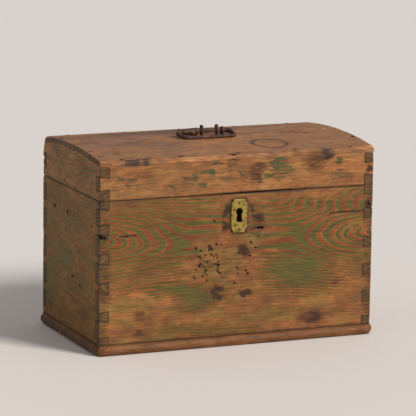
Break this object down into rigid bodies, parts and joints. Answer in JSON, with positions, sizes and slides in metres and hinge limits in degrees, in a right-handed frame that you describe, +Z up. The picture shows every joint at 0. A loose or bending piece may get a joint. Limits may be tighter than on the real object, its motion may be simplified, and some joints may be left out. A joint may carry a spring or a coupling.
{
  "type": "money box",
  "caption": "Dovetailed wooden money box with a hinged arched lid, a lock with a sliding bolt inside the front, a brass keyhole plate and a folding iron loop handle.",
  "frame": {"origin": "middle of the underside of the base board", "axes": "+X to the right along the front, +Y from the front to the back, +Z up"},
  "size_m": [0.461, 0.256, 0.3194],
  "materials": {
    "base_wood": "worn, bare and oiled, end grain at the sides",
    "front_wood": "worn paint, green left in the soft grain and red in the hard lines",
    "back_wood": "worn, traces of green paint",
    "end_wood": "worn, olive green film over brown",
    "lid_rail_wood": "worn, orange brown with green specks",
    "lid_end_wood": "worn, olive brown",
    "lid_top_wood": "dusty, pinkish brown",
    "brass": "dull, old",
    "brass_pins": "dull, dark",
    "handle_iron": "forged, dark brown rust",
    "hinge_iron": "forged, dark",
    "lock_iron": "hammered, dark",
    "lock_steel": "rubbed bright where it slides",
    "nail_iron": "rusted"
  },
  "bodies": {
    "chest": {"base_board": "base_wood", "front_board": "front_wood", "back_board": "back_wood", "left_end_board": "end_wood", "right_end_board": "end_wood", "base_nails": "nail_iron", "escutcheon": "brass", "escutcheon_pins": "brass_pins", "lock_plate": "lock_iron", "lock_case": "lock_iron", "lock_keepers": "lock_iron", "lock_spring": "lock_steel", "lock_key_pin": "lock_steel", "lock_nails": "nail_iron", "left_lower_hinge_strap": "hinge_iron", "right_lower_hinge_strap": "hinge_iron", "hinge_pins": "hinge_iron", "lower_hinge_nails": "nail_iron"},
    "lid": {"lid_front_rail": "lid_rail_wood", "lid_back_rail": "lid_rail_wood", "lid_left_end": "lid_end_wood", "lid_right_end": "lid_end_wood", "lid_top_board": "lid_top_wood", "lid_top_nails": "nail_iron", "left_upper_hinge_strap": "hinge_iron", "right_upper_hinge_strap": "hinge_iron", "upper_hinge_nails": "nail_iron", "lock_staple": "lock_iron", "staple_nails": "nail_iron", "left_handle_eye": "handle_iron", "right_handle_eye": "handle_iron"},
    "lock_bolt_body": {"lock_bolt": "lock_steel"},
    "handle": {"handle_loop": "handle_iron"}
  },
  "joints": [
    {"name": "lid_hinge", "type": "hinge", "parent": "chest", "child": "lid", "pos_m": [0, 0.1185, 0.2352], "axis": [-1, 0, 0], "range_deg": [0, 105]},
    {"name": "bolt_slide", "type": "slide", "parent": "chest", "child": "lock_bolt_body", "axis": [-1, 0, 0], "range_m": [0, 0.01]},
    {"name": "handle_swing", "type": "hinge", "parent": "lid", "child": "handle", "pos_m": [0, 0.01003, 0.30956], "axis": [-1, 0, 0], "range_deg": [0, 190]}
  ]
}
